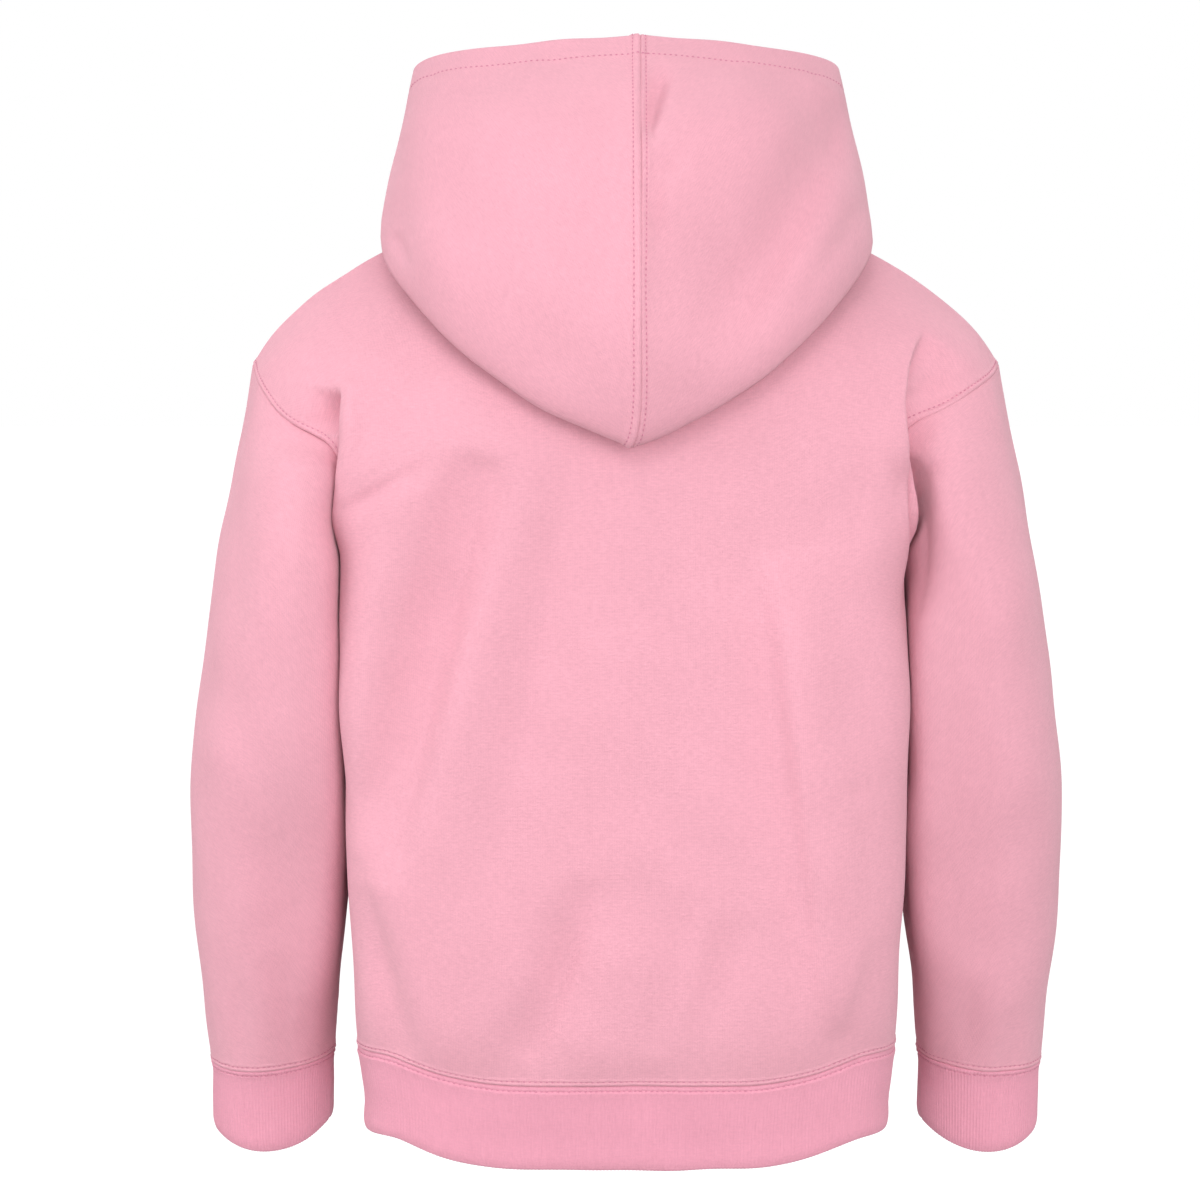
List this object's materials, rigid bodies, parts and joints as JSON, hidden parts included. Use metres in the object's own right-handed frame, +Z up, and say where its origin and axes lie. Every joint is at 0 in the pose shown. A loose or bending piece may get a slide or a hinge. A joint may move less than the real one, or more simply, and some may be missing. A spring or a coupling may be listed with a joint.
{
  "type": "pullover hoodie",
  "caption": "Child's pullover hoodie in brushed fleece, worn-full and empty, hood down on the back, ribbed cuffs and waistband.",
  "frame": {"origin": "middle of the neck opening, level with the two high shoulder points where the garment rests on its wearer", "axes": "+Z up along the worn garment, +Y to the back of the garment, +X to the wearer's left"},
  "size_m": [0.4998, 0.2419, 0.6391],
  "materials": {
    "fleece": "matte brushed fleece",
    "rib_knit": "matte fine rib knit"
  },
  "bodies": {
    "root": {"back": "fleece", "front": "fleece", "sleeve_left": "fleece", "sleeve_right": "fleece", "hood_left": "fleece", "hood_right": "fleece", "cuff_left": "rib_knit", "cuff_right": "rib_knit", "waistband": "rib_knit"}
  },
  "joints": []
}
